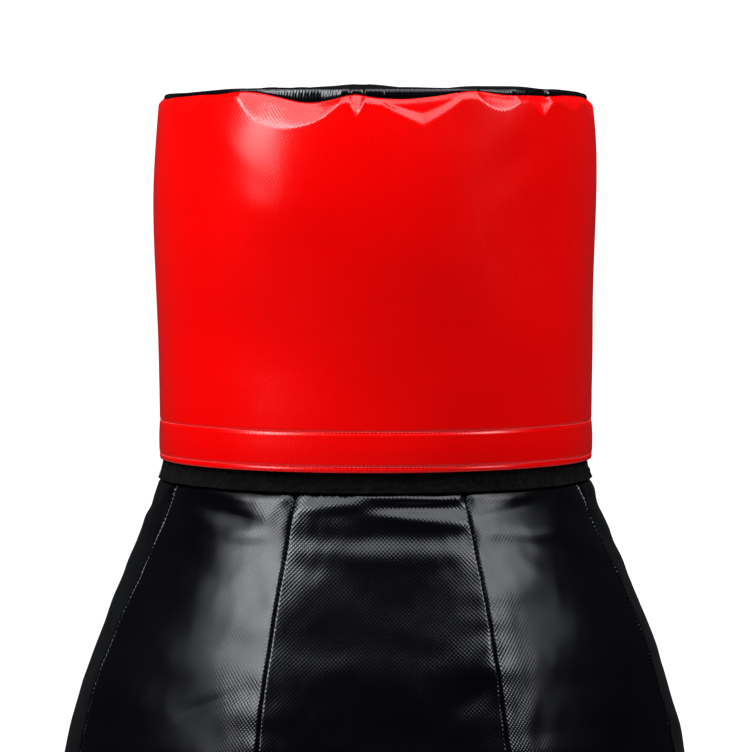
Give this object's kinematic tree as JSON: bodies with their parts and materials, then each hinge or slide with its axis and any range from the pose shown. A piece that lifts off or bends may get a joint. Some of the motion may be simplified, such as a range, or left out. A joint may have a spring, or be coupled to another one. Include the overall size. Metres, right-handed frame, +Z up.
{
  "type": "grappling dummy",
  "caption": "Free-standing stuffed grappling dummy without limbs: gored trunk, straight head and a pull-off hood held by a hook-and-loop hem.",
  "frame": {"origin": "on the floor under the dummy's axis, at the middle of the bottom panel", "axes": "+Z up the trunk to the hood; -Y is the front, the middle of gore_1; +X is where the drawcord leaves its tunnel"},
  "size_m": [0.3998, 0.3998, 1.3988],
  "materials": {
    "black_vinyl": "gloss",
    "red_vinyl": "gloss",
    "black_tape": "matte",
    "woven_bag": "matte",
    "foam": "matte",
    "textile_scrap": "matte",
    "cord": "satin",
    "lock_plastic": "satin",
    "spring_steel": "satin"
  },
  "bodies": {
    "trunk": {"gore_1": "black_vinyl", "gore_2": "black_vinyl", "gore_3": "black_vinyl", "gore_4": "black_vinyl", "gore_5": "black_vinyl", "gore_6": "black_vinyl", "gore_7": "black_vinyl", "gore_8": "black_vinyl", "bottom_panel": "black_vinyl", "bottom_webbing": "black_tape", "neck_webbing": "black_tape", "inner_bag": "woven_bag", "foot_pad": "foam", "trunk_filling": "textile_scrap"},
    "head": {"head_sleeve": "black_vinyl", "loop_tape": "black_tape", "head_foam": "foam", "head_filling": "textile_scrap", "crown_pad": "foam", "cord_tunnel": "black_vinyl", "drawcord": "cord", "cord_lock_body": "lock_plastic", "cord_lock_spring": "spring_steel"},
    "lock_button": {"cord_lock_button": "lock_plastic"},
    "hood": {"hood_wall": "red_vinyl", "hook_tape": "black_tape", "hood_top": "black_vinyl", "hood_top_pad": "foam", "hood_top_binding": "black_tape", "hood_back_tape": "red_vinyl"}
  },
  "joints": [
    {"name": "neck_bend", "type": "hinge", "parent": "trunk", "child": "head", "pos_m": [0, 0, 1.07], "axis": [1, 0, 0], "range_deg": [-10, 10], "stiffness_Nm_per_rad": 110},
    {"name": "hood_lift", "type": "slide", "parent": "head", "child": "hood", "axis": [0, 0, 1], "range_m": [0, 0.26]},
    {"name": "lock_press", "type": "slide", "parent": "head", "child": "lock_button", "axis": [0, 0, -1], "range_m": [0, 0.004], "stiffness_N_per_m": 400, "springref_m": -0.004, "deforming": ["cord_lock_spring"]}
  ]
}
